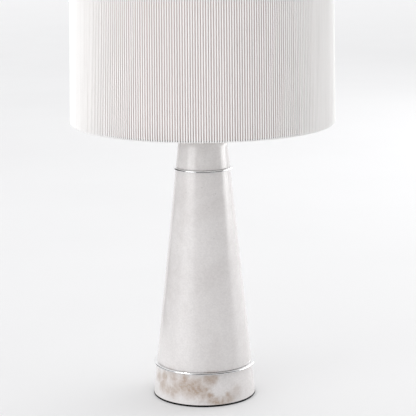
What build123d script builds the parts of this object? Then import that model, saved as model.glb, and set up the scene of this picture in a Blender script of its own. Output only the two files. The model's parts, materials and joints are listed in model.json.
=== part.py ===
# Column table lamp: a turned marble cone in three pieces with two chrome discs between them,
# a harp on top of it, and a tapered drum shade of upright cords hung from the harp.
# Millimetres, +Z up, origin at the centre of the underside. The harp lies in the XZ plane,
# the switch knob points to the front (-Y) and the cord inlet is at the back (+Y).
import os
from math import cos, pi, sin

from build123d import *

os.makedirs("parts", exist_ok=True)

# ---------------------------------------------------------------- driving dimensions
# marble column, one straight taper from the floor to the shoulder
column_foot_radius = 69.0  # where the taper meets the floor
column_neck_radius = 31.8  # where it meets the level of the top face
base_height = 41.2
middle_height = 264.1
cap_height = 40.7
shoulder_radius = 13.0
edge_softening = 0.5
marble_bore_radius = 6.5

# foot
felt_thickness = 1.0
felt_inset = 0.9
plate_thickness = 1.4

# chrome discs
disc_thickness = 2.6
lower_disc_overhang = 4.2
upper_disc_overhang = 3.6

# tie rod and its hardware
rod_radius = 5.0
rod_bore_radius = 3.6
rod_tail = 3.0  # below the bottom nut
rod_grip = 7.0  # into the socket cap
recess_radius = 25.0
recess_height = 24.0
washer_radius = 19.0
washer_thickness = 3.0
star_radius = 8.6
star_thickness = 1.0
star_teeth = 8
star_tooth_width = 1.6
star_rim = 2.2
nut_across_flats = 14.0
bottom_nut_height = 5.0
neck_nut_height = 4.0
nut_chamfer = 0.6
check_ring_radius = 14.0
check_ring_height = 3.0
check_ring_edge = 1.2

# cord inlet
inlet_height = 11.0  # centre above the base plate
inlet_radius = 3.6
bushing_radius = 5.0
bushing_length = 12.0
bushing_flange_radius = 7.5
bushing_flange_thickness = 1.6
bushing_flange_edge = 0.6
spot_face_margin = 0.3
spot_face_depth = 2.2

# harp saddle
saddle_thickness = 1.6
saddle_width = 14.0
saddle_flat = 11.0  # half width of the flat middle
saddle_bend = 4.0
saddle_arm_height = 11.0
tongue_width = 4.4
tongue_height = 10.0

# harp
harp_half_gap = 28.5  # leg centre to lamp axis
harp_half_width = 54.0
harp_height = 222.2  # leg foot to the top of the seat
harp_wire_radius = 2.3
harp_leg_length = 27.0
harp_flare_height = 38.0
harp_leg_bend = 22.0
harp_waist_bend = 36.0
harp_shoulder_bend = 50.0
seat_radius = 9.0
seat_thickness = 3.0
seat_weld = 0.8  # how far the seat is sunk over the wire
seat_edge = 0.6
stud_radius = 3.1
stud_length = 12.5
ferrule_wall = 1.0
ferrule_height = 16.0
ferrule_edge = 0.3
ferrule_play = 0.5

# socket
socket_hub_radius = 7.4
socket_hub_height = 6.0
socket_cap_radius = 17.0
socket_cap_wall = 0.8
socket_cap_flare = 13.0
socket_cap_height = 26.0
socket_cap_bend = 7.0
set_screw_radius = 1.5
set_screw_head_radius = 2.4
set_screw_head_height = 1.6
set_screw_height = 3.0
shell_wall = 0.6
shell_top = 60.0  # above the foot of the socket cap
shell_lap = 4.0  # inside the cap
shell_bead = 0.7
sleeve_wall = 0.5
sleeve_top_gap = 2.0
body_bottom = 14.0
body_flange_bottom = 24.0
body_flange_height = 3.0
body_top = 36.0
body_radius = 12.2
body_neck_radius = 9.0
body_edge = 1.0
screw_shell_radius = 13.4
screw_shell_wall = 0.35
screw_shell_height = 21.0
screw_shell_eye = 7.0
leaf_width = 4.0
leaf_thickness = 0.4
leaf_half_length = 5.0
leaf_rise = 2.6
leaf_bend = 0.8
terminal_radius = 2.4
terminal_head = 1.4
terminal_height = 19.0

# switch
switch_height = 30.0  # above the foot of the socket cap
stem_radius = 1.9
stem_play = 0.3
stem_depth = 9.0  # into the socket body
stem_outside = 11.0  # from the shell to the knob
knob_radius = 6.4
knob_length = 13.0
knob_bore_depth = 8.0
knob_flutes = 14
knob_flute_radius = 0.9
knob_edge = 1.4

# bulb
bulb_length = 108.0
bulb_radius = 30.0
bulb_wall = 1.0
bulb_neck_radius = 12.7
bulb_cap_radius = 13.1
bulb_cap_wall = 0.3
bulb_cap_bottom = 4.6
bulb_cap_top = 25.0
bulb_cap_lip = 0.5
bulb_cap_eye = 10.8
bulb_cap_bend = 1.6
bulb_glass_bottom = 23.5
bulb_waist_angle = 36.0
button_radius = 4.8
button_height = 1.2
button_edge = 0.5
insulator_radius = 10.4
insulator_height = 4.2

# shade
shade_height = 250.0
shade_bottom_radius = 175.0
shade_taper = 4.3  # the top radius is this much less
cord_thickness = 1.8
cord_count = 340
cord_groove = 1.0  # how deep the valley between two cords is
liner_thickness = 0.6
shade_wire_radius = 1.5
glue_line = 0.05
fitter_drop = 13.0  # hub below the top ring
fitter_hub_radius = 13.0
fitter_hub_height = 3.0
fitter_hub_edge = 0.5
fitter_play = 0.35
arm_count = 3
arm_radius = 1.4
arm_slope_run = 12.0
arm_bend = 8.0
arm_weld = 0.8

# finial
collar_height = 10.0
collar_flange_radius = 8.0
collar_waist_radius = 5.4
collar_flange_height = 2.4
collar_edge = 0.7
finial_neck_radius = 3.6
finial_neck_height = 2.0
finial_ball_radius = 8.5

# clearance between pieces that move against each other
gap = 0.3

# ---------------------------------------------------------------- levels and derived sizes
plate_bottom = felt_thickness
plate_top = plate_bottom + plate_thickness
base_top = plate_top + base_height
middle_bottom = base_top + disc_thickness
middle_top = middle_bottom + middle_height
cap_bottom = middle_top + disc_thickness
marble_top = cap_bottom + cap_height


def column_radius(height):
    """Radius of the marble taper at a height above the floor."""
    return column_foot_radius - (column_foot_radius - column_neck_radius) * height / marble_top


recess_top = plate_top + recess_height
washer_bottom = recess_top - washer_thickness
star_bottom = washer_bottom - star_thickness
bottom_nut_bottom = star_bottom - bottom_nut_height
rod_bottom = bottom_nut_bottom - rod_tail

neck_nut_bottom = marble_top + check_ring_height
saddle_bottom = neck_nut_bottom + neck_nut_height
socket_foot = saddle_bottom + saddle_thickness
rod_top = socket_foot + rod_grip

saddle_shoulder = saddle_bottom + saddle_arm_height
tongue_top = saddle_shoulder + tongue_height
harp_foot = tongue_top + gap
seat_top = harp_foot + harp_height
seat_bottom = seat_top - seat_thickness
harp_crown = seat_bottom + seat_weld - harp_wire_radius
ferrule_bore = harp_wire_radius + ferrule_play
ferrule_bottom = saddle_shoulder + gap

hub_bottom = seat_top + gap
hub_middle = hub_bottom + fitter_hub_height / 2
hub_top = hub_bottom + fitter_hub_height
top_wire_height = hub_middle + fitter_drop
wire_inset = shade_wire_radius + cord_thickness  # the cords turn in past the ring wires
shade_top = top_wire_height + wire_inset
shade_bottom = shade_top - shade_height
bottom_wire_height = shade_bottom + wire_inset
shade_top_radius = shade_bottom_radius - shade_taper

switch_level = socket_foot + switch_height
shell_radius = socket_cap_radius - socket_cap_wall
sleeve_radius = shell_radius - shell_wall
switch_hole_radius = stem_radius + stem_play

leaf_top = socket_foot + body_top + leaf_rise + leaf_thickness
bulb_foot = leaf_top + gap
bulb_centre = bulb_foot + bulb_length - bulb_radius

collar_bottom = hub_top + gap
collar_top = collar_bottom + collar_height
finial_bottom = collar_top + gap
stud_play_radius = stud_radius + fitter_play


def shade_radius(height):
    """Outer radius of the shade at a height above the floor."""
    return shade_bottom_radius + (shade_top_radius - shade_bottom_radius) * (
        (height - shade_bottom) / shade_height
    )


def wire_circle(height):
    """Radius of the circle on which a shade ring wire runs, against the liner's inside."""
    inside = shade_radius(height) - cord_thickness - liner_thickness
    return inside - shade_wire_radius - glue_line


# ---------------------------------------------------------------- foot
with BuildPart() as felt_pad:
    with BuildSketch():
        Circle(column_radius(0) - felt_inset)
    extrude(amount=felt_thickness)
felt_pad.part.label = "felt_pad"
export_step(felt_pad.part, "parts/felt_pad.step")

with BuildPart() as base_plate:
    with BuildSketch(Plane.XZ):
        with BuildLine():
            Polyline(
                (0, plate_bottom),
                (column_radius(plate_bottom), plate_bottom),
                (column_radius(plate_top), plate_top),
                (0, plate_top),
                close=True,
            )
        make_face()
    revolve(axis=Axis.Z)
base_plate.part.label = "base_plate"
export_step(base_plate.part, "parts/base_plate.step")


# ---------------------------------------------------------------- marble pieces
def marble_drum(bottom, top, top_edge):
    """A slice of the taper with the rod's bore, softened at its bottom and top edges."""
    with BuildPart() as drum:
        with BuildSketch(Plane.XZ):
            with BuildLine():
                Polyline(
                    (marble_bore_radius, bottom),
                    (column_radius(bottom), bottom),
                    (column_radius(top), top),
                    (marble_bore_radius, top),
                    close=True,
                )
            make_face()
        revolve(axis=Axis.Z)
        rims = drum.edges().filter_by(GeomType.CIRCLE).sort_by(SortBy.RADIUS)
        fillet(rims[-1], radius=edge_softening)
        rims = drum.edges().filter_by(GeomType.CIRCLE).group_by(Axis.Z)[-1]
        fillet(rims.sort_by(SortBy.RADIUS)[-1], radius=top_edge)
    return drum


inlet_level = plate_top + inlet_height
spot_face_at = column_radius(inlet_level) - spot_face_depth
inlet_plane = Plane(origin=(0, spot_face_at, inlet_level), x_dir=(1, 0, 0), z_dir=(0, 1, 0))

with BuildPart() as marble_base:
    add(marble_drum(plate_top, base_top, edge_softening).part)
    with BuildSketch(Plane.XY.offset(plate_top)):
        Circle(recess_radius)
    extrude(amount=recess_height, mode=Mode.SUBTRACT)
    with BuildSketch(inlet_plane):
        Circle(bushing_radius)
    extrude(amount=-spot_face_at, mode=Mode.SUBTRACT)
    with BuildSketch(inlet_plane):
        Circle(bushing_flange_radius + spot_face_margin)
    extrude(amount=bushing_flange_radius, mode=Mode.SUBTRACT)
marble_base.part.label = "marble_base"
export_step(marble_base.part, "parts/marble_base.step")

with BuildPart() as marble_column:
    add(marble_drum(middle_bottom, middle_top, edge_softening).part)
marble_column.part.label = "marble_column"
export_step(marble_column.part, "parts/marble_column.step")

with BuildPart() as marble_cap:
    add(marble_drum(cap_bottom, marble_top, shoulder_radius).part)
marble_cap.part.label = "marble_cap"
export_step(marble_cap.part, "parts/marble_cap.step")


# ---------------------------------------------------------------- chrome discs
def chrome_disc(bottom, overhang):
    """A flat disc with a full round rim that stands proud of the marble."""
    top = bottom + disc_thickness
    flat = column_radius(bottom) + overhang - disc_thickness / 2
    with BuildPart() as disc:
        with BuildSketch(Plane.XZ):
            with BuildLine():
                Polyline((flat, top), (marble_bore_radius, top), (marble_bore_radius, bottom), (flat, bottom))
                ThreePointArc(
                    (flat, bottom),
                    (flat + disc_thickness / 2, bottom + disc_thickness / 2),
                    (flat, top),
                )
            make_face()
        revolve(axis=Axis.Z)
    return disc


lower_disc = chrome_disc(base_top, lower_disc_overhang)
lower_disc.part.label = "lower_disc"
export_step(lower_disc.part, "parts/lower_disc.step")

upper_disc = chrome_disc(middle_top, upper_disc_overhang)
upper_disc.part.label = "upper_disc"
export_step(upper_disc.part, "parts/upper_disc.step")

# ---------------------------------------------------------------- tie rod and its hardware
with BuildPart() as threaded_rod:
    with BuildSketch(Plane.XY.offset(rod_bottom)):
        Circle(rod_radius)
        Circle(rod_bore_radius, mode=Mode.SUBTRACT)
    extrude(amount=rod_top - rod_bottom)
threaded_rod.part.label = "threaded_rod"
export_step(threaded_rod.part, "parts/threaded_rod.step")

with BuildPart() as bottom_washer:
    with BuildSketch(Plane.XY.offset(washer_bottom)):
        Circle(washer_radius)
        Circle(rod_radius, mode=Mode.SUBTRACT)
    extrude(amount=washer_thickness)
bottom_washer.part.label = "bottom_washer"
export_step(bottom_washer.part, "parts/bottom_washer.step")

with BuildPart() as star_washer:
    with BuildSketch(Plane.XY.offset(star_bottom)):
        Circle(star_radius)
        Circle(star_radius - star_rim, mode=Mode.SUBTRACT)
        tooth_length = star_radius - star_rim - rod_radius
        with PolarLocations(rod_radius + tooth_length / 2, star_teeth):
            Rectangle(tooth_length + star_rim / 2, star_tooth_width)
        Circle(rod_radius, mode=Mode.SUBTRACT)
    extrude(amount=star_thickness)
star_washer.part.label = "star_washer"
export_step(star_washer.part, "parts/star_washer.step")


def hex_nut(bottom, height):
    """A lamp nut on the tie rod, with its top corners taken off."""
    with BuildPart() as nut:
        with BuildSketch(Plane.XY.offset(bottom)):
            RegularPolygon(nut_across_flats / 2, 6, major_radius=False)
            Circle(rod_radius, mode=Mode.SUBTRACT)
        extrude(amount=height)
        chamfer(nut.edges().filter_by(GeomType.LINE).group_by(Axis.Z)[-1], length=nut_chamfer)
    return nut


bottom_nut = hex_nut(bottom_nut_bottom, bottom_nut_height)
bottom_nut.part.label = "bottom_nut"
export_step(bottom_nut.part, "parts/bottom_nut.step")

neck_nut = hex_nut(neck_nut_bottom, neck_nut_height)
neck_nut.part.label = "neck_nut"
export_step(neck_nut.part, "parts/neck_nut.step")

with BuildPart() as check_ring:
    with BuildSketch(Plane.XY.offset(marble_top)):
        Circle(check_ring_radius)
        Circle(rod_radius, mode=Mode.SUBTRACT)
    extrude(amount=check_ring_height)
    top_rim = check_ring.edges().group_by(Axis.Z)[-1].sort_by(SortBy.RADIUS)[-1]
    fillet(top_rim, radius=check_ring_edge)
check_ring.part.label = "check_ring"
export_step(check_ring.part, "parts/check_ring.step")

# ---------------------------------------------------------------- cord inlet
with BuildPart() as cord_bushing:
    with BuildSketch(inlet_plane):
        Circle(bushing_flange_radius)
    extrude(amount=bushing_flange_thickness)
    outer_rim = cord_bushing.edges().group_by(Axis.Y)[-1]
    fillet(outer_rim, radius=bushing_flange_edge)
    with BuildSketch(inlet_plane):
        Circle(bushing_radius)
    extrude(amount=-bushing_length)
    with BuildSketch(inlet_plane):
        Circle(inlet_radius)
    extrude(amount=bushing_length + bushing_flange_thickness, both=True, mode=Mode.SUBTRACT)
cord_bushing.part.label = "cord_bushing"
export_step(cord_bushing.part, "parts/cord_bushing.step")

# ---------------------------------------------------------------- harp saddle
saddle_half = harp_half_gap + saddle_thickness / 2
with BuildPart() as harp_saddle:
    with BuildSketch(Plane.XZ):
        with BuildLine():
            saddle_line = FilletPolyline(
                (-saddle_half, tongue_top),
                (-saddle_half, saddle_bottom + saddle_bend),
                (-saddle_flat, saddle_bottom),
                (saddle_flat, saddle_bottom),
                (saddle_half, saddle_bottom + saddle_bend),
                (saddle_half, tongue_top),
                radius=saddle_bend,
            )
            offset(saddle_line, amount=saddle_thickness, side=Side.LEFT)
        make_face()
    extrude(amount=saddle_width / 2, both=True)
    with BuildSketch(Plane.YZ):
        with Locations((0, (saddle_bottom + saddle_shoulder) / 2)):
            Rectangle(saddle_width, saddle_arm_height)
        with Locations((0, (saddle_bottom + tongue_top) / 2)):
            Rectangle(tongue_width, tongue_top - saddle_bottom)
    extrude(amount=saddle_half, both=True, mode=Mode.INTERSECT)
    with BuildSketch(Plane.XY.offset(saddle_bottom)):
        Circle(rod_radius)
    extrude(amount=saddle_thickness, mode=Mode.SUBTRACT)
harp_saddle.part.label = "harp_saddle"
export_step(harp_saddle.part, "parts/harp_saddle.step")

# ---------------------------------------------------------------- socket
with BuildPart() as socket_cap:
    with BuildSketch(Plane.XZ):
        with BuildLine():
            bowl = FilletPolyline(
                (socket_hub_radius, socket_foot + socket_hub_height),
                (socket_cap_radius, socket_foot + socket_hub_height + socket_cap_flare),
                (socket_cap_radius, socket_foot + socket_cap_height),
                radius=socket_cap_bend,
            )
            offset(bowl, amount=socket_cap_wall, side=Side.LEFT)
        make_face()
        with BuildLine():
            hub_top_level = socket_foot + socket_hub_height + socket_cap_wall
            Polyline(
                (rod_radius, socket_foot),
                (socket_hub_radius, socket_foot),
                (socket_hub_radius, hub_top_level),
                (rod_radius, hub_top_level),
                close=True,
            )
        make_face()
    revolve(axis=Axis.Z)
    set_screw_plane = Plane(
        origin=(0, socket_hub_radius, socket_foot + set_screw_height), z_dir=(0, 1, 0)
    )
    with BuildSketch(set_screw_plane):
        Circle(set_screw_radius)
    extrude(amount=-socket_hub_radius, mode=Mode.SUBTRACT)
socket_cap.part.label = "socket_cap"
export_step(socket_cap.part, "parts/socket_cap.step")

with BuildPart() as set_screw:
    with BuildSketch(set_screw_plane):
        Circle(set_screw_radius)
    extrude(amount=rod_radius - socket_hub_radius)
    with BuildSketch(set_screw_plane):
        Circle(set_screw_head_radius)
    extrude(amount=set_screw_head_height)
set_screw.part.label = "set_screw"
export_step(set_screw.part, "parts/set_screw.step")

switch_plane = Plane(origin=(0, 0, switch_level), x_dir=(1, 0, 0), z_dir=(0, -1, 0))

with BuildPart() as socket_shell:
    shell_bottom = socket_foot + socket_cap_height - shell_lap
    with BuildSketch(Plane.XY.offset(shell_bottom)):
        Circle(shell_radius)
        Circle(shell_radius - shell_wall, mode=Mode.SUBTRACT)
    extrude(amount=socket_foot + shell_top - shell_bottom)
    with BuildSketch(Plane.XZ):
        with Locations((shell_radius, socket_foot + shell_top)):
            Circle(shell_bead)
    revolve(axis=Axis.Z)
    with BuildSketch(switch_plane):
        Circle(switch_hole_radius)
    extrude(amount=socket_cap_radius + shell_bead, mode=Mode.SUBTRACT)
socket_shell.part.label = "socket_shell"
export_step(socket_shell.part, "parts/socket_shell.step")

with BuildPart() as socket_sleeve:
    with BuildSketch(Plane.XY.offset(shell_bottom)):
        Circle(sleeve_radius)
        Circle(sleeve_radius - sleeve_wall, mode=Mode.SUBTRACT)
    extrude(amount=socket_foot + shell_top - sleeve_top_gap - shell_bottom)
    with BuildSketch(switch_plane):
        Circle(switch_hole_radius)
    extrude(amount=socket_cap_radius, mode=Mode.SUBTRACT)
socket_sleeve.part.label = "socket_sleeve"
export_step(socket_sleeve.part, "parts/socket_sleeve.step")

body_level = socket_foot + body_top
terminal_level = socket_foot + terminal_height
with BuildPart() as socket_body:
    with BuildSketch(Plane.XY.offset(socket_foot + body_bottom)):
        Circle(body_neck_radius)
    extrude(amount=body_top - body_bottom)
    with BuildSketch(Plane.XY.offset(socket_foot + body_flange_bottom)):
        Circle(sleeve_radius - sleeve_wall)
    extrude(amount=body_flange_height)
    with BuildSketch(Plane.XY.offset(socket_foot + body_flange_bottom)):
        Circle(body_radius)
    extrude(amount=body_top - body_flange_bottom)
    bottom_rim = socket_body.edges().group_by(Axis.Z)[0]
    fillet(bottom_rim, radius=body_edge)
    with BuildSketch(switch_plane.offset(body_radius - stem_depth)):
        Circle(switch_hole_radius)
    extrude(amount=socket_cap_radius, mode=Mode.SUBTRACT)
socket_body.part.label = "socket_body"
export_step(socket_body.part, "parts/socket_body.step")

with BuildPart() as terminal_screws:
    for side in (-1, 1):
        with BuildSketch(
            Plane(origin=(side * body_neck_radius, 0, terminal_level), z_dir=(side, 0, 0))
        ):
            Circle(terminal_radius)
        extrude(amount=terminal_head)
terminal_screws.part.label = "terminal_screws"
export_step(terminal_screws.part, "parts/terminal_screws.step")

with BuildPart() as screw_shell:
    with BuildSketch(Plane.XY.offset(body_level)):
        Circle(screw_shell_radius + screw_shell_wall)
        Circle(screw_shell_eye, mode=Mode.SUBTRACT)
    extrude(amount=screw_shell_wall)
    with BuildSketch(Plane.XY.offset(body_level)):
        Circle(screw_shell_radius + screw_shell_wall)
        Circle(screw_shell_radius, mode=Mode.SUBTRACT)
    extrude(amount=screw_shell_height)
screw_shell.part.label = "screw_shell"
export_step(screw_shell.part, "parts/screw_shell.step")

with BuildPart() as centre_contact:
    with BuildSketch(Plane.XZ):
        with BuildLine():
            leaf = FilletPolyline(
                (-leaf_half_length, body_level),
                (-leaf_half_length / 2, body_level),
                (0, body_level + leaf_rise),
                (leaf_half_length, body_level + leaf_rise),
                radius=leaf_bend,
            )
            offset(leaf, amount=leaf_thickness, side=Side.LEFT)
        make_face()
    extrude(amount=leaf_width / 2, both=True)
centre_contact.part.label = "centre_contact"
export_step(centre_contact.part, "parts/centre_contact.step")

# ---------------------------------------------------------------- switch
stem_start = body_radius - stem_depth + gap
knob_start = socket_cap_radius + stem_outside
with BuildPart() as switch_stem:
    with BuildSketch(switch_plane.offset(stem_start)):
        Circle(stem_radius)
    extrude(amount=knob_start + knob_bore_depth - stem_start)
switch_stem.part.label = "switch_stem"
export_step(switch_stem.part, "parts/switch_stem.step")

with BuildPart() as switch_knob:
    with BuildSketch(switch_plane.offset(knob_start)):
        Circle(knob_radius)
    extrude(amount=knob_length)
    fillet(switch_knob.edges().group_by(Axis.Y)[0], radius=knob_edge)
    with BuildSketch(switch_plane.offset(knob_start)):
        with PolarLocations(knob_radius, knob_flutes):
            Circle(knob_flute_radius)
    extrude(amount=knob_length, mode=Mode.SUBTRACT)
    with BuildSketch(switch_plane.offset(knob_start)):
        Circle(stem_radius)
    extrude(amount=knob_bore_depth, mode=Mode.SUBTRACT)
switch_knob.part.label = "switch_knob"
export_step(switch_knob.part, "parts/switch_knob.step")

# ---------------------------------------------------------------- bulb
with BuildPart() as bulb_contact:
    with BuildSketch(Plane.XY.offset(bulb_foot)):
        Circle(button_radius)
    extrude(amount=button_height)
    fillet(bulb_contact.edges().group_by(Axis.Z)[0], radius=button_edge)
bulb_contact.part.label = "bulb_contact"
export_step(bulb_contact.part, "parts/bulb_contact.step")

with BuildPart() as bulb_insulator:
    with BuildSketch(Plane.XZ):
        with BuildLine():
            Polyline(
                (0, bulb_foot + button_height),
                (button_radius, bulb_foot + button_height),
                (insulator_radius, bulb_foot + button_height + insulator_height),
                (0, bulb_foot + button_height + insulator_height),
                close=True,
            )
        make_face()
    revolve(axis=Axis.Z)
bulb_insulator.part.label = "bulb_insulator"
export_step(bulb_insulator.part, "parts/bulb_insulator.step")

with BuildPart() as bulb_cap:
    with BuildSketch(Plane.XZ):
        with BuildLine():
            cap_line = FilletPolyline(
                (bulb_cap_eye, bulb_foot + bulb_cap_bottom),
                (bulb_cap_radius, bulb_foot + bulb_cap_bottom),
                (bulb_cap_radius, bulb_foot + bulb_cap_top),
                radius=bulb_cap_bend,
            )
            offset(cap_line, amount=bulb_cap_wall, side=Side.LEFT)
        make_face()
        with Locations((bulb_cap_radius, bulb_foot + bulb_cap_top - bulb_cap_lip)):
            Circle(bulb_cap_lip / 2)
    revolve(axis=Axis.Z)
bulb_cap.part.label = "bulb_cap"
export_step(bulb_cap.part, "parts/bulb_cap.step")

with BuildPart() as bulb_glass:
    with BuildSketch(Plane.XZ):
        with BuildLine():
            dome = CenterArc((0, bulb_centre), bulb_radius, 90, -90 - bulb_waist_angle)
            waist = Spline(
                dome @ 1,
                (bulb_neck_radius, bulb_foot + bulb_cap_top),
                tangents=[dome % 1, (0, -1)],
            )
            Line(waist @ 1, (bulb_neck_radius, bulb_foot + bulb_glass_bottom))
            Line((bulb_neck_radius, bulb_foot + bulb_glass_bottom), (0, bulb_foot + bulb_glass_bottom))
            Line((0, bulb_foot + bulb_glass_bottom), dome @ 0)
        make_face()
    revolve(axis=Axis.Z)
    neck_face = bulb_glass.faces().sort_by(Axis.Z)[0]
    offset(amount=-bulb_wall, openings=neck_face)
bulb_glass.part.label = "bulb_glass"
export_step(bulb_glass.part, "parts/bulb_glass.step")

# ---------------------------------------------------------------- harp
with BuildPart() as harp_loop:
    with BuildLine(Plane.XZ) as harp_path:
        leg_top = harp_foot + harp_leg_length
        waist = leg_top + harp_flare_height
        FilletPolyline(
            (-harp_half_gap, harp_foot),
            (-harp_half_gap, leg_top),
            (-harp_half_width, waist),
            (-harp_half_width, harp_crown),
            (harp_half_width, harp_crown),
            (harp_half_width, waist),
            (harp_half_gap, leg_top),
            (harp_half_gap, harp_foot),
            radius=[
                harp_leg_bend,
                harp_waist_bend,
                harp_shoulder_bend,
                harp_shoulder_bend,
                harp_waist_bend,
                harp_leg_bend,
            ],
        )
    with BuildSketch(Plane(origin=harp_path.line @ 0, z_dir=harp_path.line % 0)):
        Circle(harp_wire_radius)
    sweep()
harp_loop.part.label = "harp_loop"
export_step(harp_loop.part, "parts/harp_loop.step")

with BuildPart() as harp_stud:
    with BuildSketch(Plane.XY.offset(seat_bottom)):
        Circle(seat_radius)
    extrude(amount=seat_thickness)
    fillet(harp_stud.edges(), radius=seat_edge)
    with BuildSketch(Plane.XY.offset(seat_top)):
        Circle(stud_radius)
    extrude(amount=stud_length)
    chamfer(harp_stud.edges().group_by(Axis.Z)[-1], length=seat_edge)
harp_stud.part.label = "harp_stud"
export_step(harp_stud.part, "parts/harp_stud.step")


def ferrule(side):
    """The sleeve that locks one harp leg over its saddle tongue."""
    with BuildPart() as sleeve:
        with BuildSketch(Plane.XY.offset(ferrule_bottom)):
            with Locations((side * harp_half_gap, 0)):
                Circle(ferrule_bore + ferrule_wall)
                Circle(ferrule_bore, mode=Mode.SUBTRACT)
        extrude(amount=ferrule_height)
        rims = sleeve.edges().filter_by(GeomType.CIRCLE).sort_by(SortBy.RADIUS)[-2:]
        chamfer(rims, length=ferrule_edge)
    return sleeve


left_ferrule = ferrule(-1)
left_ferrule.part.label = "left_ferrule"
export_step(left_ferrule.part, "parts/left_ferrule.step")

right_ferrule = ferrule(1)
right_ferrule.part.label = "right_ferrule"
export_step(right_ferrule.part, "parts/right_ferrule.step")

# ---------------------------------------------------------------- shade frame
with BuildPart() as fitter_hub:
    with BuildSketch(Plane.XY.offset(hub_bottom)):
        Circle(fitter_hub_radius)
        Circle(stud_play_radius, mode=Mode.SUBTRACT)
    extrude(amount=fitter_hub_height)
    rims = fitter_hub.edges().filter_by(GeomType.CIRCLE).sort_by(SortBy.RADIUS)[-2:]
    fillet(rims, radius=fitter_hub_edge)
fitter_hub.part.label = "fitter_hub"
export_step(fitter_hub.part, "parts/fitter_hub.step")

with BuildPart() as one_arm:
    arm_end = wire_circle(top_wire_height) - shade_wire_radius + arm_weld
    with BuildLine(Plane.XZ) as arm_path:
        FilletPolyline(
            (fitter_hub_radius - arm_weld, hub_middle),
            (arm_end - arm_slope_run, hub_middle),
            (arm_end, top_wire_height),
            radius=arm_bend,
        )
    with BuildSketch(Plane(origin=arm_path.line @ 0, z_dir=arm_path.line % 0)):
        Circle(arm_radius)
    sweep()

with BuildPart() as spider_arms:
    with PolarLocations(0, arm_count, start_angle=90):
        add(one_arm.part)
spider_arms.part.label = "spider_arms"
export_step(spider_arms.part, "parts/spider_arms.step")


def ring_wire(height):
    """A round wire hoop at one edge of the shade."""
    with BuildPart() as hoop:
        with Locations((0, 0, height)):
            Torus(wire_circle(height), shade_wire_radius)
    return hoop


top_ring = ring_wire(top_wire_height)
top_ring.part.label = "top_ring"
export_step(top_ring.part, "parts/top_ring.step")

bottom_ring = ring_wire(bottom_wire_height)
bottom_ring.part.label = "bottom_ring"
export_step(bottom_ring.part, "parts/bottom_ring.step")


# ---------------------------------------------------------------- shade skin
lining_depth = cord_thickness + liner_thickness
with BuildPart() as shade_liner:
    with BuildSketch(Plane.XZ):
        with BuildLine():
            Polyline(
                (shade_bottom_radius - lining_depth, shade_bottom),
                (shade_bottom_radius - cord_thickness, shade_bottom),
                (shade_top_radius - cord_thickness, shade_top),
                (shade_top_radius - lining_depth, shade_top),
                close=True,
            )
        make_face()
    revolve(axis=Axis.Z)
shade_liner.part.label = "shade_liner"
export_step(shade_liner.part, "parts/shade_liner.step")


def cord_outline(radius):
    """The ribbed outline of the cords: a crown in the middle of each, a valley between two."""
    half_pitch = pi / cord_count
    corners = []
    for step in range(2 * cord_count):
        reach = radius - cord_groove * (step % 2)
        corners.append((reach * cos(step * half_pitch), reach * sin(step * half_pitch)))
    return corners


with BuildPart() as shade_cover:
    for height in (shade_bottom, shade_top):
        with BuildSketch(Plane.XY.offset(height)):
            with BuildLine():
                Polyline(*cord_outline(shade_radius(height)), close=True)
            make_face()
    loft(ruled=True)
    for height in (shade_bottom, shade_top):
        with BuildSketch(Plane.XY.offset(height)):
            RegularPolygon(shade_radius(height) - cord_thickness, cord_count, major_radius=False)
    loft(ruled=True, mode=Mode.SUBTRACT)
shade_cover.part.label = "shade_cover"
export_step(shade_cover.part, "parts/shade_cover.step")

# ---------------------------------------------------------------- finial
with BuildPart() as finial_collar:
    with BuildSketch(Plane.XZ):
        with BuildLine():
            waist_top = collar_top - collar_flange_height
            waist_bottom = collar_bottom + collar_flange_height
            Polyline(
                (collar_waist_radius, waist_top),
                (collar_waist_radius + collar_edge, collar_top),
                (stud_play_radius, collar_top),
                (stud_play_radius, collar_bottom),
                (collar_flange_radius, collar_bottom),
                (collar_flange_radius, waist_bottom),
            )
            ThreePointArc(
                (collar_flange_radius, waist_bottom),
                (
                    collar_waist_radius + (collar_flange_radius - collar_waist_radius) * (1 - sin(pi / 4)),
                    waist_bottom + (waist_top - waist_bottom) * (1 - cos(pi / 4)),
                ),
                (collar_waist_radius, waist_top),
            )
        make_face()
    revolve(axis=Axis.Z)
finial_collar.part.label = "finial_collar"
export_step(finial_collar.part, "parts/finial_collar.step")

with BuildPart() as finial_knob:
    neck_top = finial_bottom + finial_neck_height
    ball_foot = (finial_ball_radius**2 - finial_neck_radius**2) ** 0.5
    ball_centre = neck_top + ball_foot
    with BuildSketch(Plane.XZ):
        with BuildLine():
            Polyline(
                (0, ball_centre + finial_ball_radius),
                (0, finial_bottom),
                (finial_neck_radius, finial_bottom),
                (finial_neck_radius, neck_top),
            )
            ThreePointArc(
                (finial_neck_radius, neck_top),
                (finial_ball_radius, ball_centre),
                (0, ball_centre + finial_ball_radius),
            )
        make_face()
    revolve(axis=Axis.Z)
finial_knob.part.label = "finial_knob"
export_step(finial_knob.part, "parts/finial_knob.step")
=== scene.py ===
# Column table lamp: finishes, the shade's cords and lining, screw threads, floor, light and camera,
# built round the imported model. Metres, +Z up, seen from -Y. Azimuths are in degrees from -Y
# towards +X; angles about the axis are in radians from +X towards +Y.
import json
import random
from math import cos, hypot, pi, radians, sin

import bpy
from mathutils import Matrix, Vector


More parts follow.
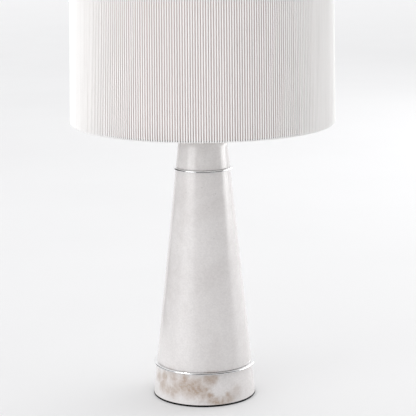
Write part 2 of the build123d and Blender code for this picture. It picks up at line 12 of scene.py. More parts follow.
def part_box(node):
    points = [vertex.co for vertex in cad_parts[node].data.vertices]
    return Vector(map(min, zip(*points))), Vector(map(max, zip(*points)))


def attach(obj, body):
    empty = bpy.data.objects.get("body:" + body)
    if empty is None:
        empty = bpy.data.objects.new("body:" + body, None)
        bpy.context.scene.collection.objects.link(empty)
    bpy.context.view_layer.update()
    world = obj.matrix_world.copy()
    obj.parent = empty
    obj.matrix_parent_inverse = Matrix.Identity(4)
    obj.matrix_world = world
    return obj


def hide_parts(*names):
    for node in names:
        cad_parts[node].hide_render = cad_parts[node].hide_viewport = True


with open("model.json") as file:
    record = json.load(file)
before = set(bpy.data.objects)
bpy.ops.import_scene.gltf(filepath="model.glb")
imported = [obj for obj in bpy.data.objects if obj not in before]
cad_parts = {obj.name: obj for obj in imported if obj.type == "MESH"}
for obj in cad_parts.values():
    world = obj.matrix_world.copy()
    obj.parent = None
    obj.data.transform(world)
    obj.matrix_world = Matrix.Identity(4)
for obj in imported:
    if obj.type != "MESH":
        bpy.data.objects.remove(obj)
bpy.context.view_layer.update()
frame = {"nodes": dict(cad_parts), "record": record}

MM = 0.001


# ---------------------------------------------------------------- node trees
def opaque(value):
    """A colour given as a tuple gets its alpha; anything else stays as it is."""
    return (*value, 1.0) if isinstance(value, tuple) else value


class Graph:
    """A node tree with short calls for the nodes that the finishes are made of."""

    def __init__(self, tree):
        self.tree = tree

    def node(self, kind, inputs=None, **settings):
        made = self.tree.nodes.new("ShaderNode" + kind)
        for key, value in settings.items():
            setattr(made, key, value)
        for key, value in (inputs or {}).items():
            self.feed(made.inputs[key], value)
        return made

    def feed(self, socket, value):
        if isinstance(value, bpy.types.NodeSocket):
            self.tree.links.new(value, socket)
        else:
            socket.default_value = value

    def place(self):
        """Where a point is in the lamp's frame."""
        return self.node("TexCoord").outputs["Object"]

    def math(self, operation, first, second=0.0):
        made = self.node("Math", {0: first, 1: second}, operation=operation)
        return made.outputs[0]

    def vector(self, operation, first, second):
        made = self.node("VectorMath", {0: first, 1: second}, operation=operation)
        return made.outputs["Value" if operation == "DISTANCE" else "Vector"]

    def noise(self, scale, detail=3.0, roughness=0.5, place=None, distortion=0.0, colour=False):
        inputs = {
            "Scale": scale,
            "Detail": detail,
            "Roughness": roughness,
            "Distortion": distortion,
            "Vector": self.place() if place is None else place,
        }
        return self.node("TexNoise", inputs).outputs["Color" if colour else "Fac"]

    def grains(self, scale):
        """A random value in each crystal-like cell."""
        cells = self.node("TexVoronoi", {"Scale": scale, "Vector": self.place()})
        return self.node("SeparateColor", {"Color": cells.outputs["Color"]}).outputs["Red"]

    def ramp(self, value, start, end, low=0.0, high=1.0):
        """low up to start, high from end on, and a smooth step between."""
        inputs = {
            "Value": value,
            "From Min": start,
            "From Max": end,
            "To Min": low,
            "To Max": high,
        }
        return self.node("MapRange", inputs, interpolation_type="SMOOTHSTEP").outputs["Result"]

    def blend(self, share, first, second, mode="MIX"):
        """Two colours mixed. A Mix node takes them at its last two inputs, and its third output
        is the mix."""
        made = self.node("Mix", data_type="RGBA", blend_type=mode)
        self.feed(made.inputs["Factor"], share)
        for index, value in ((6, first), (7, second)):
            self.feed(made.inputs[index], opaque(value))
        return made.outputs[2]

    def bump(self, height, distance, strength=1.0, under=None):
        inputs = {"Height": height, "Distance": distance, "Strength": strength}
        if under is not None:
            inputs["Normal"] = under
        return self.node("Bump", inputs).outputs["Normal"]


def finish(name, **settings):
    """A new material: its graph, with the named sockets of its shader set."""
    material = bpy.data.materials.new(name)
    material.use_nodes = True
    graph = Graph(material.node_tree)
    graph.material = material
    graph.shader = material.node_tree.nodes["Principled BSDF"]
    for key, value in settings.items():
        graph.feed(graph.shader.inputs[key.replace("_", " ")], value)
    return graph


# ---------------------------------------------------------------- finishes
# Tan clouds on the front of the marble base: azimuth, height and reach in mm, strength.
BASE_CLOUDS = (
    (-69, 30, 7, 0.7),
    (-55, 33, 7, 0.8),
    (-40, 37, 7, 0.7),
    (-56, 23, 8, 0.75),
    (-47, 18, 7, 0.7),
    (-38, 18, 7, 0.8),
    (-33, 25, 8, 0.7),
    (-25, 35, 6, 0.9),
    (-25, 26, 8, 0.9),
    (-17, 25, 9, 1.0),
    (-9, 32, 7, 0.8),
    (-9, 23, 8, 1.0),
    (-1, 21, 7, 0.9),
    (6, 36, 7, 0.85),
    (10, 40, 6, 0.8),
    (-2, 14, 5, 0.75),
    (6, 14, 5, 1.0),
    (8, 9, 5, 0.8),
    (14, 7, 5, 1.0),
    (17, 5, 4, 1.0),
    (22, 6, 5, 0.9),
    (29, 10, 6, 0.8),
    (39, 16, 7, 0.35),
)
# Dark grains on the front of the column: azimuth, height and reach in mm, strength.
COLUMN_SPECKS = (
    (-2.5, 291.0, 1.5, 0.9),
    (-35.0, 283.5, 1.3, 0.7),
    (24.0, 282.2, 1.4, 0.8),
    (-41.0, 276.8, 1.3, 0.7),
    (10.2, 264.8, 1.3, 0.6),
    (17.5, 223.8, 1.5, 0.7),
    (-17.8, 128.5, 1.4, 0.5),
)
foot_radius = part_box("base_plate")[1].x
neck_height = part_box("marble_cap")[1].z
neck_radius = 31.8 * MM


def marble_point(azimuth, height):
    """The point of the marble's taper at an azimuth and a height."""
    radius = foot_radius + (neck_radius - foot_radius) * height / neck_height
    angle = radians(azimuth)
    return Vector((radius * sin(angle), -radius * cos(angle), height))


def spots(graph, places, where, core=0.15, spread=1.0):
    """The strongest of a set of soft round spots at each point: full strength up to core times
    their reach, and none from spread times their reach on."""
    strongest = 0.0
    for azimuth, height, reach, strength in places:
        distance = graph.vector("DISTANCE", where, marble_point(azimuth, height * MM))
        spot = graph.ramp(distance, core * reach * MM, spread * reach * MM, strength, 0.0)
        strongest = graph.math("MAXIMUM", strongest, spot)
    return strongest


def marble():
    """White crystalline marble, polished: tan clouds in the base, faint grey drifts and wisps."""
    pale = (0.722, 0.70, 0.694)
    drift = (0.668, 0.641, 0.634)
    tan = (0.40, 0.305, 0.24)
    grey = (0.5, 0.48, 0.47)
    warp_reach = 20.0 * MM
    mottle_share, haze_share, tan_share, fleck_share = 0.55, 0.97, 0.95, 0.75
    graph = finish("marble", IOR=1.5, Coat_Weight=0.25, Coat_Roughness=0.06)
    where = graph.place()
    warp = graph.noise(85.0, 5.0, 0.65, colour=True)
    warp = graph.vector("SUBTRACT", warp, (0.5, 0.5, 0.5))
    near = graph.vector("MULTIPLY_ADD", warp, (warp_reach, warp_reach, warp_reach))
    graph.feed(near.node.inputs[2], where)

    drifts = graph.ramp(graph.noise(13.0, 5.0, 0.6, distortion=0.6), 0.38, 0.68)
    colour = graph.blend(drifts, pale, drift)
    mottle = graph.blend(graph.noise(150.0, 4.0, 0.65), (0.40, 0.40, 0.40), (0.60, 0.60, 0.60))
    colour = graph.blend(mottle_share, colour, mottle, "OVERLAY")
    cells = graph.grains(620.0)
    crystal = graph.ramp(cells, 0.0, 1.0, 0.965, 1.03)
    colour = graph.vector("SCALE", colour, (0.0, 0.0, 0.0))
    graph.feed(colour.node.inputs["Scale"], crystal)

    split = graph.node("SeparateXYZ", {0: where})
    wisps = graph.math("SUBTRACT", graph.noise(7.0, 6.0, 0.55, distortion=1.4), 0.5)
    wisps = graph.ramp(graph.math("ABSOLUTE", wisps), 0.0, 0.035, 1.0, 0.0)
    patches = graph.ramp(graph.noise(11.0, 2.0), 0.47, 0.7, 0.0, 0.16)
    colour = graph.blend(graph.math("MULTIPLY", wisps, patches), colour, grey)

    broken = graph.ramp(graph.noise(260.0, 6.0, 0.7), 0.36, 0.60, 0.7, 1.0)
    haze = graph.math("MULTIPLY", spots(graph, BASE_CLOUDS, near, 0.2, 2.1), haze_share)
    front = graph.math("MAXIMUM", haze, spots(graph, BASE_CLOUDS, near, 0.5, 1.3))
    behind = graph.ramp(graph.noise(24.0, 5.0, 0.62, distortion=0.8), 0.52, 0.7, 0.0, 0.85)
    back_half = graph.ramp(split.outputs["Y"], -12.0 * MM, 30.0 * MM)
    base_only = graph.ramp(split.outputs["Z"], 40.0 * MM, 44.0 * MM, 1.0, 0.0)
    behind = graph.math("MULTIPLY", graph.math("MULTIPLY", behind, back_half), base_only)
    clouds = graph.math("MULTIPLY", graph.math("MAXIMUM", front, behind), broken)
    colour = graph.blend(graph.math("MULTIPLY", clouds, tan_share), colour, tan)

    flecks = graph.ramp(graph.noise(95.0, 2.0, 0.5), 0.76, 0.8, 0.0, 0.5)
    flecks = graph.math("MAXIMUM", flecks, spots(graph, COLUMN_SPECKS, where))
    colour = graph.blend(graph.math("MULTIPLY", flecks, fleck_share), colour, grey)

    graph.feed(graph.shader.inputs["Base Color"], colour)
    gloss = graph.ramp(graph.noise(60.0, 3.0), 0.3, 0.7, 0.16, 0.25)
    gloss = graph.math("ADD", gloss, graph.ramp(cells, 0.0, 1.0, -0.02, 0.02))
    graph.feed(graph.shader.inputs["Roughness"], gloss)
    graph.feed(graph.shader.inputs["Normal"], graph.bump(cells, 0.004 * MM, 0.6))
    return graph.material


def metal(name, colour, smooth, rough, drawn=(1.0, 1.0, 1.0), scratch=0.002):
    """Plated or plain metal: uneven gloss, faint stains, and fine marks stretched along its
    working, scratch millimetres deep."""
    stain, mark_share = 0.93, 0.3
    graph = finish(name, Metallic=1.0)
    along = graph.vector("MULTIPLY", graph.place(), drawn)
    stains = graph.ramp(graph.noise(55.0, 4.0, 0.6), 0.35, 0.7)
    dim = tuple(stain * c for c in colour)
    graph.feed(graph.shader.inputs["Base Color"], graph.blend(stains, colour, dim))
    marks = graph.noise(900.0, 5.0, 0.7, along)
    gloss = graph.ramp(graph.noise(120.0, 5.0, 0.6), 0.3, 0.75, smooth, rough)
    worn = graph.ramp(marks, 0.45, 0.7, 0.0, mark_share * (rough - smooth))
    graph.feed(graph.shader.inputs["Roughness"], graph.math("ADD", gloss, worn))
    graph.feed(graph.shader.inputs["Normal"], graph.bump(marks, scratch * MM, 0.5))
    return graph.material


def moulded(name, colour, worn, smooth, rough, grain=900.0, depth=0.006, **settings):
    """Lacquer, plastic, rubber or enamel: a slightly uneven colour, and gloss broken by a fine
    grain, depth millimetres deep."""
    graph = finish(name, **settings)
    patches = graph.ramp(graph.noise(38.0, 5.0, 0.6), 0.35, 0.7)
    graph.feed(graph.shader.inputs["Base Color"], graph.blend(patches, colour, worn))
    gloss = graph.ramp(graph.noise(170.0, 4.0, 0.6), 0.3, 0.7, smooth, rough)
    graph.feed(graph.shader.inputs["Roughness"], gloss)
    skin = graph.bump(graph.noise(grain, 4.0, 0.6), depth * MM, 0.7)
    graph.feed(graph.shader.inputs["Normal"], skin)
    return graph.material


def felt():
    """Pressed black wool with pale stray fibres."""
    graph = finish(
        "felt", Sheen_Weight=0.04, Sheen_Roughness=0.6, Roughness=0.95, Specular_IOR_Level=0.1
    )
    stretched = graph.vector("MULTIPLY", graph.place(), (1.0, 0.25, 1.0))
    fibres = graph.ramp(graph.noise(1400.0, 5.0, 0.75, stretched, 1.5), 0.4, 0.75)
    colour = graph.blend(fibres, (0.005, 0.005, 0.0055), (0.03, 0.029, 0.028))
    graph.feed(graph.shader.inputs["Base Color"], colour)
    graph.feed(graph.shader.inputs["Normal"], graph.bump(graph.noise(700.0, 6.0, 0.75), 0.25 * MM))
    return graph.material


def fibre_board():
    """Pressed tan fibre, as round a lamp socket's works."""
    graph = finish("fibre", Specular_IOR_Level=0.3)
    stretched = graph.vector("MULTIPLY", graph.place(), (1.0, 1.0, 0.2))
    strands = graph.noise(600.0, 6.0, 0.7, stretched)
    colour = graph.blend(strands, (0.30, 0.21, 0.13), (0.52, 0.41, 0.28))
    graph.feed(graph.shader.inputs["Base Color"], colour)
    graph.feed(graph.shader.inputs["Roughness"], graph.ramp(strands, 0.3, 0.7, 0.65, 0.9))
    graph.feed(graph.shader.inputs["Normal"], graph.bump(strands, 0.05 * MM))
    return graph.material


def opal_glass():
    """Glossy opal bulb glass, a little denser in drifts."""
    graph = finish("opal_glass", IOR=1.5, Coat_Weight=0.6, Coat_Roughness=0.04)
    colour = graph.blend(graph.noise(30.0, 3.0, 0.5), (0.84, 0.84, 0.83), (0.89, 0.89, 0.88))
    graph.feed(graph.shader.inputs["Base Color"], colour)
    graph.feed(graph.shader.inputs["Roughness"], graph.ramp(graph.noise(80.0), 0.3, 0.7, 0.12, 0.2))
    graph.feed(graph.shader.inputs["Normal"], graph.bump(graph.noise(400.0, 2.0), 0.002 * MM, 0.5))
    return graph.material


def around(graph, turns):
    """An angle about the lamp's axis that runs through a whole number of turns, and the height."""
    split = graph.node("SeparateXYZ", {0: graph.place()})
    angle = graph.math("ARCTAN2", split.outputs["Y"], split.outputs["X"])
    return graph.math("MULTIPLY", angle, turns), split.outputs["Z"]


def cord_finish(cord_count):
    """White twisted viscose cord: plies that slant round each cord, painted shade in the grooves
    between the plies, and a slight change from cord to cord."""
    ply_pitch = 1.3 * MM
    graph = finish("shade_cord", Sheen_Weight=0.03, Sheen_Roughness=0.5, Specular_IOR_Level=0.12)
    slant, height = around(graph, cord_count)
    phase = graph.math("ADD", slant, graph.math("MULTIPLY", height, 2 * pi / ply_pitch))
    plies = graph.math("SINE", phase)
    streaks = graph.vector("MULTIPLY", graph.place(), (1.0, 1.0, 0.02))
    tone = graph.ramp(graph.noise(310.0, 2.0, 0.5, streaks), 0.3, 0.7)
    colour = graph.blend(tone, (0.95, 0.945, 0.935), (0.91, 0.903, 0.893))
    # painted shade: in the grooves between the plies the cord's colour goes up to a tenth of the
    # way to grey
    ply_groove_shade = graph.ramp(plies, -1.0, 0.2, 0.10, 0.0)
    colour = graph.blend(ply_groove_shade, colour, (0.66, 0.64, 0.63))
    fuzz = graph.noise(1500.0, 4.0, 0.7)
    colour = graph.blend(graph.ramp(fuzz, 0.5, 0.8, 0.0, 0.12), colour, (0.95, 0.95, 0.94))
    graph.feed(graph.shader.inputs["Base Color"], colour)
    graph.feed(graph.shader.inputs["Roughness"], graph.ramp(fuzz, 0.3, 0.7, 0.55, 0.75))
    twist = graph.bump(plies, 0.05 * MM, 0.6)
    graph.feed(graph.shader.inputs["Normal"], graph.bump(fuzz, 0.02 * MM, 0.5, twist))
    return graph.material


def lining(name, colour, other, gloss):
    """Thin lining film, matt, with faint upright calender streaks and a light orange peel."""
    uneven = 0.15
    graph = finish(name, Specular_IOR_Level=0.3)
    streaks = graph.vector("MULTIPLY", graph.place(), (1.0, 1.0, 0.05))
    tone = graph.ramp(graph.noise(70.0, 3.0, 0.6, streaks), 0.3, 0.7)
    graph.feed(graph.shader.inputs["Base Color"], graph.blend(tone, colour, other))
    roughness = graph.ramp(graph.noise(220.0), 0.3, 0.7, gloss, gloss + uneven)
    graph.feed(graph.shader.inputs["Roughness"], roughness)
    graph.feed(graph.shader.inputs["Normal"], graph.bump(graph.noise(1100.0, 3.0), 0.01 * MM, 0.6))
    return graph.material


CORD_COUNT = 340
TURNED = (1.0, 1.0, 5.0)  # fine marks that run round the lamp's axis
DRAWN = (1.0, 1.0, 0.15)  # fine marks that run upwards
finishes = {
    "marble": marble(),
    "chrome": metal("chrome", (0.86, 0.865, 0.87), 0.03, 0.09, scratch=0.0006),
    "black_lacquer": moulded(
        "black_lacquer",
        (0.005, 0.005, 0.005),
        (0.009, 0.009, 0.009),
        0.5,
        0.65,
        Specular_IOR_Level=0.12,
    ),
    "felt": felt(),
    "zinc_steel": metal("zinc_steel", (0.60, 0.61, 0.62), 0.26, 0.42, (1.0, 1.0, 6.0)),
    "nickel": metal("nickel", (0.74, 0.715, 0.68), 0.2, 0.34, DRAWN),
    "brass": metal("brass", (0.76, 0.57, 0.27), 0.22, 0.4),
    "thread_brass": metal("thread_brass", (0.80, 0.62, 0.32), 0.16, 0.3, TURNED),
    "phenolic": moulded(
        "phenolic", (0.03, 0.026, 0.023), (0.045, 0.038, 0.033), 0.24, 0.42, 1300.0, 0.012
    ),
    "fibre": fibre_board(),
    "grommet": moulded(
        "grommet", (0.022, 0.022, 0.022), (0.04, 0.04, 0.039), 0.5, 0.7, 1600.0, 0.02
    ),
    "solder": metal("solder", (0.62, 0.62, 0.63), 0.2, 0.5, scratch=0.02),
    "black_glass": moulded("black_glass", (0.012, 0.012, 0.02), (0.03, 0.03, 0.04), 0.06, 0.16),
    "bulb_metal": metal("bulb_metal", (0.76, 0.76, 0.77), 0.2, 0.36, TURNED),
    "opal_glass": opal_glass(),
    "shade_wire": moulded(
        "shade_wire", (0.42, 0.385, 0.375), (0.36, 0.33, 0.32), 0.34, 0.5, 1800.0, 0.02
    ),
    "liner": lining("liner", (0.75, 0.635, 0.625), (0.70, 0.59, 0.58), 0.5),
    "liner_inside": lining("liner_inside", (0.86, 0.85, 0.83), (0.82, 0.81, 0.79), 0.45),
    "shade_cord": cord_finish(CORD_COUNT),
}
for subpart in frame["record"]["subparts"]:
    for slot in frame["nodes"][subpart["node"]].material_slots:
        slot.material = finishes[subpart["material_slot"]]


# ---------------------------------------------------------------- meshes
def mesh_piece(name, points, faces, body, slot, replaced=(), materials=None, tags=None):
    """A smooth mesh that rides on a body and takes its finish from a slot. One with more than one
    material comes with a tag for each face."""
    mesh = bpy.data.meshes.new(name)
    mesh.from_pydata(points, [], faces)
    for material in materials or [finishes[slot]]:
        mesh.materials.append(material)
    for polygon in mesh.polygons:
        polygon.use_smooth = True
    if tags:
        mesh.polygons.foreach_set("material_index", tags)
    mesh.validate()
    piece = bpy.data.objects.new(name, mesh)
    bpy.context.scene.collection.objects.link(piece)
    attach(piece, body)
    if replaced:
        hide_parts(*replaced)
    return piece


def turned(steps, size, section):
    """Points and faces of a closed profile turned about the lamp's axis. At each angle, section
    gives its points as (radius, height) pairs, size in all."""
    points, faces = [], []
    for step in range(steps):
        angle = 2 * pi * step / steps
        points += [(r * cos(angle), r * sin(angle), z) for r, z in section(angle)]
        here, there = step * size, (step + 1) % steps * size
        for k in range(size):
            after = (k + 1) % size
            faces.append((here + k, there + k, there + after, here + after))
    return points, faces


# ---------------------------------------------------------------- shade
def hoop(node):
    """A ring wire's centre radius, height and own radius."""
    low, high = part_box(node)
    wire = (high.z - low.z) / 2
    return high.x - wire, (high.z + low.z) / 2, wire


bottom_radius, bottom_height, wire_radius = hoop("bottom_ring")
top_radius, top_height, _ = hoop("top_ring")
cover_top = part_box("shade_cover")[1].z
cord_depth = 1.8 * MM
cord_width = 1.94 * MM
liner_thickness = 0.6 * MM
glue_line = 0.05 * MM
skin_depth = cord_depth + liner_thickness + glue_line + wire_radius
slope = (top_radius - bottom_radius) / (top_height - bottom_height)
HOOK_STEPS = 8  # of a cord's half turn about a ring wire


def wire_line(height):
    """Radius of the line of the ring wires' centres at a height."""
    return bottom_radius + slope * (height - bottom_height)


def hook(radius, height, up):
    """One cord's turn about a ring wire, from its glued end inside to where it starts up the
    outside. up is -1 at the bottom wire and 1 at the top wire."""
    tail = 7.0 * MM
    inner = wire_radius + cord_depth / 2
    outer = skin_depth - cord_depth / 2
    end = wire_line(height - up * tail) + wire_radius + glue_line - cord_depth / 2
    bow, bow_height = 0.4 * MM, 0.6 * tail
    points = [(end, height - up * tail), (end - bow, height - up * bow_height)]
    for step in range(HOOK_STEPS + 1):
        angle = pi * step / HOOK_STEPS
        across = -cos(angle)
        reach = outer if across > 0 else inner
        points.append((radius + across * reach, height + up * inner * sin(angle)))
    return points


def cord_line(free_end):
    """One cord in the plane through the axis: round the bottom wire, up the outside and round the
    top wire. A free end stops on the top wire, short of the arm that comes in there."""
    rise_steps = 9
    low = hook(bottom_radius, bottom_height, -1)
    high = hook(top_radius, top_height, 1)
    if free_end:
        high = high[HOOK_STEPS // 2 + 1 :]
    outer = skin_depth - cord_depth / 2
    middle = []
    for step in range(1, rise_steps):
        height = bottom_height + (top_height - bottom_height) * step / rise_steps
        middle.append((wire_line(height) + outer, height))
    return low + middle + high[::-1]


def cords():
    """All the upright cords as one mesh of closed round strands, none of them quite straight."""
    sides = 8
    arm_angles = [2 * pi * (0.25 + k / 3) for k in range(3)]
    arm_clearance = 0.017
    drift = 0.05 * MM
    thinnest, thickest = 0.97, 1.03
    sway_rate = 9.0
    draw = random.Random(7)
    points, faces = [], []
    for cord in range(CORD_COUNT):
        angle = 2 * pi * cord / CORD_COUNT
        near_arm = min(abs((angle - a + pi) % (2 * pi) - pi) for a in arm_angles)
        line = cord_line(near_arm < arm_clearance)
        shift, sway, phase = draw.gauss(0, drift), draw.gauss(0, drift), draw.uniform(0, 2 * pi)
        swell = draw.uniform(thinnest, thickest)
        first = len(points)
        for k, (radius, height) in enumerate(line):
            before, after = line[max(k - 1, 0)], line[min(k + 1, len(line) - 1)]
            run, rise = after[0] - before[0], after[1] - before[1]
            length = hypot(run, rise)
            out_r, out_z = rise / length, -run / length
            side = shift + sway * sin(phase + sway_rate * height / cover_top)
            for corner in range(sides):
                turn = 2 * pi * corner / sides
                deep = cord_depth / 2 * swell * cos(turn)
                wide = cord_width / 2 * swell * sin(turn) + side
                r, z = radius + out_r * deep, height + out_z * deep
                x = r * cos(angle) - wide * sin(angle)
                y = r * sin(angle) + wide * cos(angle)
                points.append((x, y, z))
        for k in range(len(line) - 1):
            here, there = first + k * sides, first + (k + 1) * sides
            for corner in range(sides):
                after = (corner + 1) % sides
                faces.append((here + corner, here + after, there + after, there + corner))
        last = len(points) - sides
        faces.append(tuple(first + corner for corner in reversed(range(sides))))
        faces.append(tuple(last + corner for corner in range(sides)))
    return mesh_piece("shade_cords", points, faces, "shade", "shade_cord", ["shade_cover"])


def liner_sheet():
    """The lining behind the cords, mauve outside and white inside, between the two ring wires."""
    rows = 12
    inside = wire_radius + glue_line
    outside = inside + liner_thickness
    heights = [bottom_height + (top_height - bottom_height) * k / rows for k in range(rows + 1)]
    profile = [(wire_line(z) + outside, z) for z in heights]
    profile += [(wire_line(z) + inside, z) for z in reversed(heights)]
    size = len(profile)
    points, faces = turned(CORD_COUNT, size, lambda angle: profile)
    tags = [1 if rows < k < size - 1 else 0 for k in range(size)] * CORD_COUNT
    both = [finishes["liner"], finishes["liner_inside"]]
    return mesh_piece("liner_sheet", points, faces, "shade", "liner", ["shade_liner"], both, tags)


def liner_seam():
    """The glued overlap of the lining, an upright strip inside at the back, just beside an arm."""
    half_width = 6.0 * MM
    columns, rows = 6, 10
    gap, thickness = 0.05 * MM, 0.35 * MM
    end_margin = 4.0 * MM
    middle = pi / 2 - 0.16
    low, high = bottom_height + end_margin, top_height - end_margin
    points, faces = [], []
    for layer in (gap, gap + thickness):
        for row in range(rows + 1):
            height = low + (high - low) * row / rows
            radius = wire_line(height) + wire_radius + glue_line - layer
            for column in range(columns + 1):
                across = half_width * (2 * column / columns - 1)
                if layer > gap:
                    across *= 1 - thickness / half_width
                angle = middle + across / radius
                points.append((radius * cos(angle), radius * sin(angle), height))
    wide, sheet = columns + 1, (columns + 1) * (rows + 1)
    for row in range(rows):
        for column in range(columns):
            corner = row * wide + column
            quad = (corner, corner + 1, corner + 1 + wide, corner + wide)
            faces.append(quad)
            faces.append(tuple(k + sheet for k in reversed(quad)))
    rim = list(range(wide))
    rim += [row * wide + columns for row in range(1, rows + 1)]
    rim += [rows * wide + column for column in reversed(range(columns))]
    rim += [row * wide for row in reversed(range(1, rows))]
    for k, corner in enumerate(rim):
        after = rim[(k + 1) % len(rim)]
        faces.append((after, corner, corner + sheet, after + sheet))
    white = [finishes["liner_inside"]]
    return mesh_piece("liner_seam", points, faces, "shade", "liner", materials=white)


cords()
liner_sheet()
liner_seam()


# ---------------------------------------------------------------- screw threads
SCREW_PITCH = 3.629 * MM
SCREW_DEPTH = 0.6 * MM
SCREW_WALL = 0.3 * MM
SCREW_RUN_OUT = 1.5 * MM  # where the thread fades in and out


def threaded(name, node, body, slot, wall):
    """A thin turned wall with a rolled thread. Its points are (radius, height, share of the
    thread's depth)."""
    steps = 96

    def section(angle):
        pairs = []
        for radius, height, share in wall:
            wave = cos(2 * pi * height / SCREW_PITCH - angle)
            pairs.append((radius - share * SCREW_DEPTH * (1 - wave) / 2, height))
        return pairs

    points, faces = turned(steps, len(wall), section)
    return mesh_piece(name, points, faces, body, slot, [node])


def thread_share(height, low, high):
    """How much of a thread's depth is cut at a height."""
    return max(0.0, min(1.0, (height - low) / SCREW_RUN_OUT, (high - height) / SCREW_RUN_OUT))


def bulb_cap_thread():
    """The bulb's pressed cap: a turned-in foot, a rolled thread, and a plain collar with a lip."""
    low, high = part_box("bulb_cap")
    radius = 13.1 * MM
    eye = 10.8 * MM
    foot = 1.6 * MM
    corner = 0.3 * foot
    collar, lip_height, lip_middle = 5.0 * MM, 0.9 * MM, 0.5 * MM
    rows = 60
    start, top = low.z + foot, high.z - lip_height
    outside = [
        (eye, low.z, 0.0),
        (radius - foot, low.z, 0.0),
        (radius - corner, low.z + corner, 0.0),
    ]
    flat_rows = len(outside)
    for k in range(rows + 1):
        height = start + (top - start) * k / rows
        outside.append((radius, height, thread_share(height, start, high.z - collar)))
    lip = [(high.x, high.z - lip_middle, 0.0), (radius, high.z, 0.0)]
    inside = [
        (r - SCREW_WALL, z + (SCREW_WALL if k < flat_rows else 0.0), share)
        for k, (r, z, share) in enumerate(outside)
    ]
    inside[0] = (eye, low.z + SCREW_WALL, 0.0)
    wall = outside + lip + inside[::-1]
    return threaded("bulb_cap_thread", "bulb_cap", "bulb", "bulb_metal", wall)


def socket_thread():
    """The socket's rolled brass shell, threaded to match the bulb's cap."""
    low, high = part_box("screw_shell")
    eye = 7.0 * MM
    corner = 0.4 * MM
    plain_foot = 1.0 * MM
    rows = 56
    start = low.z + corner
    outside = [(eye, low.z, 0.0), (high.x - corner, low.z, 0.0)]
    for k in range(rows + 1):
        height = start + (high.z - start) * k / rows
        outside.append((high.x, height, thread_share(height, low.z + plain_foot, high.z)))
    inside = [(r - SCREW_WALL, max(z, low.z + SCREW_WALL), share) for r, z, share in outside]
    inside[0] = (eye, low.z + SCREW_WALL, 0.0)
    wall = outside + inside[::-1]
    return threaded("socket_thread", "screw_shell", "stand", "thread_brass", wall)


bulb_cap_thread()
socket_thread()


# ---------------------------------------------------------------- welds of the shade's carrier
def welds():
    """Brazed beads where the three arms meet the top ring and the hub."""
    hub_low, hub_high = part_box("fitter_hub")
    hub_middle = (hub_low.z + hub_high.z) / 2
    bead = 2.3 * MM
    bead_length, bead_width, bead_height = 0.8, 0.85, 0.75  # shares of the bead's size
    smallest, largest, pole = 0.9, 1.05, 0.95
    rings, steps = 8, 12
    draw = random.Random(3)
    points, faces = [], []
    for arm in range(3):
        angle = pi / 2 + 2 * pi * arm / 3
        for reach, height in ((hub_high.x, hub_middle), (top_radius - wire_radius, top_height)):
            first = len(points)
            across = Vector((cos(angle), sin(angle), 0.0))
            beside = Vector((-sin(angle), cos(angle), 0.0))
            centre = Vector((reach * cos(angle), reach * sin(angle), height))
            for ring in range(rings + 1):
                polar = pi * ring / rings
                for step in range(steps):
                    turn = 2 * pi * step / steps
                    rough = 0 < ring < rings
                    lump = bead * (draw.uniform(smallest, largest) if rough else pole)
                    rise = bead_height * lump * sin(polar) * sin(turn)
                    offset = across * (bead_length * lump * cos(polar))
                    offset += beside * (bead_width * lump * sin(polar) * cos(turn))
                    points.append(centre + offset + Vector((0.0, 0.0, rise)))
            for ring in range(rings):
                for step in range(steps):
                    after = (step + 1) % steps
                    here, there = first + ring * steps, first + (ring + 1) * steps
                    faces.append((here + step, there + step, there + after, here + after))
    return mesh_piece("arm_welds", points, faces, "shade", "shade_wire")


welds()


# ---------------------------------------------------------------- floor, light and camera
def stage_mesh(name, points, faces, material):
    mesh = bpy.data.meshes.new(name)
    mesh.from_pydata(points, [], faces)
    mesh.materials.append(material)
    piece = bpy.data.objects.new(name, mesh)
    bpy.context.scene.collection.objects.link(piece)
    return piece


def floor():
    """A wide matt pale sheet, paler still far from the lamp, where it meets the white surround."""
    half = 30.0
    paler_from, palest_at = 1.2, 9.0
    graph = finish("floor", Specular_IOR_Level=0.03)
    where = graph.place()
    tone = graph.ramp(graph.noise(1.4, 2.0), 0.3, 0.7)
    colour = graph.blend(tone, (0.825, 0.825, 0.83), (0.81, 0.81, 0.815))
    distance = graph.vector("DISTANCE", where, (0.0, 0.0, 0.0))
    away = graph.ramp(distance, paler_from, palest_at)
    colour = graph.blend(away, colour, (0.965, 0.965, 0.97))
    graph.feed(graph.shader.inputs["Base Color"], colour)
    graph.feed(graph.shader.inputs["Roughness"], graph.ramp(graph.noise(6.0), 0.3, 0.7, 0.4, 0.5))
    corners = [(-half, -half, 0.0), (half, -half, 0.0), (half, half, 0.0), (-half, half, 0.0)]
    stage_mesh("floor", corners, [(0, 1, 2, 3)], graph.material)


def direction(azimuth, elevation):
    """A unit vector from the lamp, from angles in degrees."""
    a, e = radians(azimuth), radians(elevation)
    return Vector((sin(a) * cos(e), -cos(a) * cos(e), sin(e)))


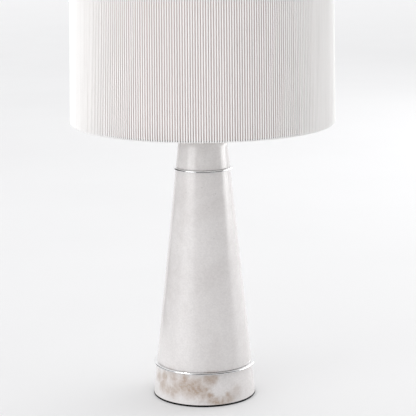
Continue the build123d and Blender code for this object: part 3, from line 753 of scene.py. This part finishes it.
def flag(name, azimuths, elevations, tone, mirrored_only=False, near=None):
    """A dark curved screen round part of the set, which the camera never shows. From near on, a
    strip that lies just over the floor leads up to it. One that is mirrored only neither shades
    nor tints anything: it shows in reflections."""
    distance, columns, rows = 7.0, 16, 8
    above_floor = Vector((0.0, 0.0, 0.002))
    weave = 0.8
    graph = finish(name, Roughness=0.9, Specular_IOR_Level=0.1)
    dark = tuple(weave * c for c in tone)
    colour = graph.blend(graph.noise(30.0, 3.0), tone, dark)
    graph.feed(graph.shader.inputs["Base Color"], colour)
    points, faces = [], []
    for column in range(columns + 1):
        azimuth = azimuths[0] + (azimuths[1] - azimuths[0]) * column / columns
        if near:
            points.append(direction(azimuth, 0.0) * near + above_floor)
        for row in range(rows + 1):
            elevation = elevations[0] + (elevations[1] - elevations[0]) * row / rows
            points.append(direction(azimuth, elevation) * distance)
    size = len(points) // (columns + 1)
    for column in range(columns):
        for row in range(size - 1):
            corner = column * size + row
            faces.append((corner, corner + 1, corner + size + 1, corner + size))
    screen = stage_mesh(name, points, faces, graph.material)
    screen.visible_camera = False
    if mirrored_only:
        screen.visible_diffuse = False
        screen.visible_shadow = False


def softbox(name, azimuth, elevation, distance, size, glow, mirrored=True):
    """A rectangular light that faces the lamp's middle, as bright as glow times plain white. The
    camera never shows it, and one that isn't mirrored stays out of reflections too."""
    middle = Vector((0.0, 0.0, 0.3))
    light = bpy.data.lights.new(name, "AREA")
    light.shape = "RECTANGLE"
    light.size, light.size_y = size
    light.energy = glow * pi * size[0] * size[1]
    holder = bpy.data.objects.new(name, light)
    bpy.context.scene.collection.objects.link(holder)
    holder.location = middle + direction(azimuth, elevation) * distance
    holder.rotation_euler = (middle - holder.location).to_track_quat("-Z", "Y").to_euler()
    holder.visible_camera = False
    holder.visible_glossy = mirrored
    return holder


def studio():
    """White surround, floor, screens and lights, tuned to the photograph's tones."""
    scene = bpy.context.scene
    scene.view_settings.view_transform = "Standard"
    world = bpy.data.worlds.new("studio")
    scene.world = world
    world.use_nodes = True
    background = world.node_tree.nodes["Background"]
    background.inputs["Color"].default_value = (0.99, 0.99, 0.995, 1.0)
    background.inputs["Strength"].default_value = 1.0
    floor()
    black = (0.03, 0.03, 0.03)
    flag("room_side", (-11.0, 62.0), (0.02, 34.0), (0.3, 0.3, 0.3))
    flag("room_front", (-28.0, 84.0), (0.02, 70.0), black, True, 0.35)
    flag("room_left", (-140.0, -73.0), (0.02, 24.0), black, True, 0.5)
    softbox("near_box", -52.0, 11.5, 4.2, (2.4, 1.9), 2.5)
    softbox("front_box", -22.0, 12.0, 4.2, (2.4, 1.9), 1.5, False)
    softbox("side_box", 104.0, 3.0, 3.0, (1.9, 1.0), 2.9)
    softbox("right_box", 130.0, 12.0, 3.0, (2.2, 1.6), 2.2)
    softbox("strip", 102.0, 2.0, 3.0, (0.14, 1.2), 7.0)
    key = softbox("key", -66.0, 58.0, 3.0, (0.5, 0.5), 16.0)
    key.visible_diffuse = False  # it only shows in reflections


def view():
    """The photograph's view: the lens and place that its edges, discs and foot give."""
    place = Vector((0.0, -2.209, 0.7174))
    tilt = 0.206
    pan = -0.002865
    roll = -0.0068
    data = bpy.data.cameras.new("camera")
    data.sensor_width = 36.0
    data.lens = 146.2
    data.clip_end = 200.0
    camera = bpy.data.objects.new("camera", data)
    bpy.context.scene.collection.objects.link(camera)
    turn = Matrix.Rotation(pan, 4, "Z") @ Matrix.Rotation(pi / 2 - tilt, 4, "X")
    turn = turn @ Matrix.Rotation(roll, 4, "Z")
    camera.matrix_world = Matrix.Translation(place) @ turn
    bpy.context.scene.camera = camera


studio()
view()
